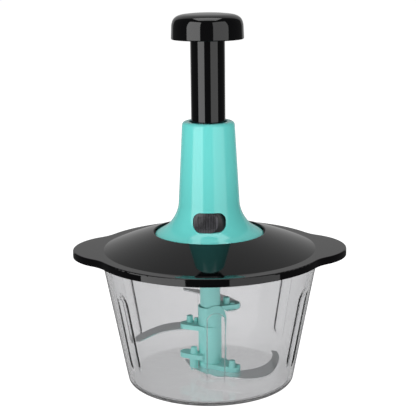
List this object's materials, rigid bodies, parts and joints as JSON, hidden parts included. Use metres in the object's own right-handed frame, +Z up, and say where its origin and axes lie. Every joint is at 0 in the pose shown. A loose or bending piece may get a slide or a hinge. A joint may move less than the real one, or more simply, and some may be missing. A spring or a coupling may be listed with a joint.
{
  "type": "push-down food chopper",
  "caption": "Push-down food chopper: clear fluted bowl, eared lid, flared housing with a lock switch, and a spring-loaded plunger that spins stepped curved blades.",
  "frame": {"origin": "centre of the bowl's underside on the table", "axes": "+Z up along the plunger's axis, -Y to the front with the lock switch, X through the lid's two ears"},
  "size_m": [0.2128, 0.1808, 0.286],
  "materials": {
    "bowl": "clear, smooth",
    "bowl_pin": "turned steel",
    "blade_hub": "semi-gloss turquoise",
    "hub_bush": "turned",
    "blade": "brushed stainless steel",
    "blade_pins": "semi-gloss turquoise",
    "lid_shell": "gloss black",
    "knob": "gloss black",
    "lid_seal": "soft silicone",
    "gear_cover": "gloss black",
    "screw": "zinc-plated steel",
    "bush": "plain acetal",
    "housing": "gloss turquoise",
    "lock": "satin dark grey",
    "steel": "bright steel",
    "spindle": "semi-gloss turquoise"
  },
  "bodies": {
    "bowl": {"bowl": "bowl", "bowl_pin": "bowl_pin"},
    "blade_unit": {"blade_hub": "blade_hub", "hub_bush": "hub_bush", "upper_blade": "blade", "middle_blade": "blade", "lower_blade": "blade", "blade_pins": "blade_pins"},
    "lid": {"lid_shell": "lid_shell", "lid_seal": "lid_seal", "gear_cover": "gear_cover", "cover_screws": "screw", "housing_screws": "screw", "spindle_bush": "bush", "thrust_washer": "bush", "guide_bush": "bush", "housing": "housing", "switch_track": "lock", "lock_carrier": "bush", "spring_seat": "bush", "return_spring": "steel", "clutch_spring": "steel"},
    "drive_nut": {"drive_nut": "bush"},
    "spindle": {"spindle": "spindle"},
    "plunger": {"plunger_tube": "knob", "plunger_foot": "bush", "knob_cap": "knob", "knob_plug": "bush", "spiral_bar": "steel", "bar_screw": "screw"},
    "lock": {"lock_ring": "bush", "lock_slider": "lock"}
  },
  "joints": [
    {"name": "lid_lift", "type": "slide", "parent": "bowl", "child": "lid", "axis": [0, 0, 1], "range_m": [0, 0.11]},
    {"name": "blade_spin", "type": "hinge", "parent": "bowl", "child": "blade_unit", "pos_m": [0, 0, 0.01], "axis": [0, 0, 1], "range_deg": [-900.5, 0]},
    {"name": "spindle_spin", "type": "hinge", "parent": "lid", "child": "spindle", "pos_m": [0, 0, 0.095], "axis": [0, 0, 1], "range_deg": [-900.5, 0]},
    {"name": "nut_spin", "type": "hinge", "parent": "lid", "child": "drive_nut", "pos_m": [0, 0, 0.105], "axis": [0, 0, 1], "range_deg": [-900.5, 0]},
    {"name": "plunger_slide", "type": "slide", "parent": "lid", "child": "plunger", "axis": [0, 0, 1], "range_m": [-0.061, 0], "stiffness_N_per_m": 150, "springref_m": 0.02, "deforming": ["return_spring"]},
    {"name": "lock_turn", "type": "hinge", "parent": "lid", "child": "lock", "pos_m": [0, 0, 0.1288], "axis": [0, 0, 1], "range_deg": [0, 11]}
  ],
  "couplings": [
    {"joint": "nut_spin", "follows": "plunger_slide", "rad_per_m": 257.51},
    {"joint": "spindle_spin", "follows": "plunger_slide", "rad_per_m": 257.51},
    {"joint": "blade_spin", "follows": "plunger_slide", "rad_per_m": 257.51}
  ]
}
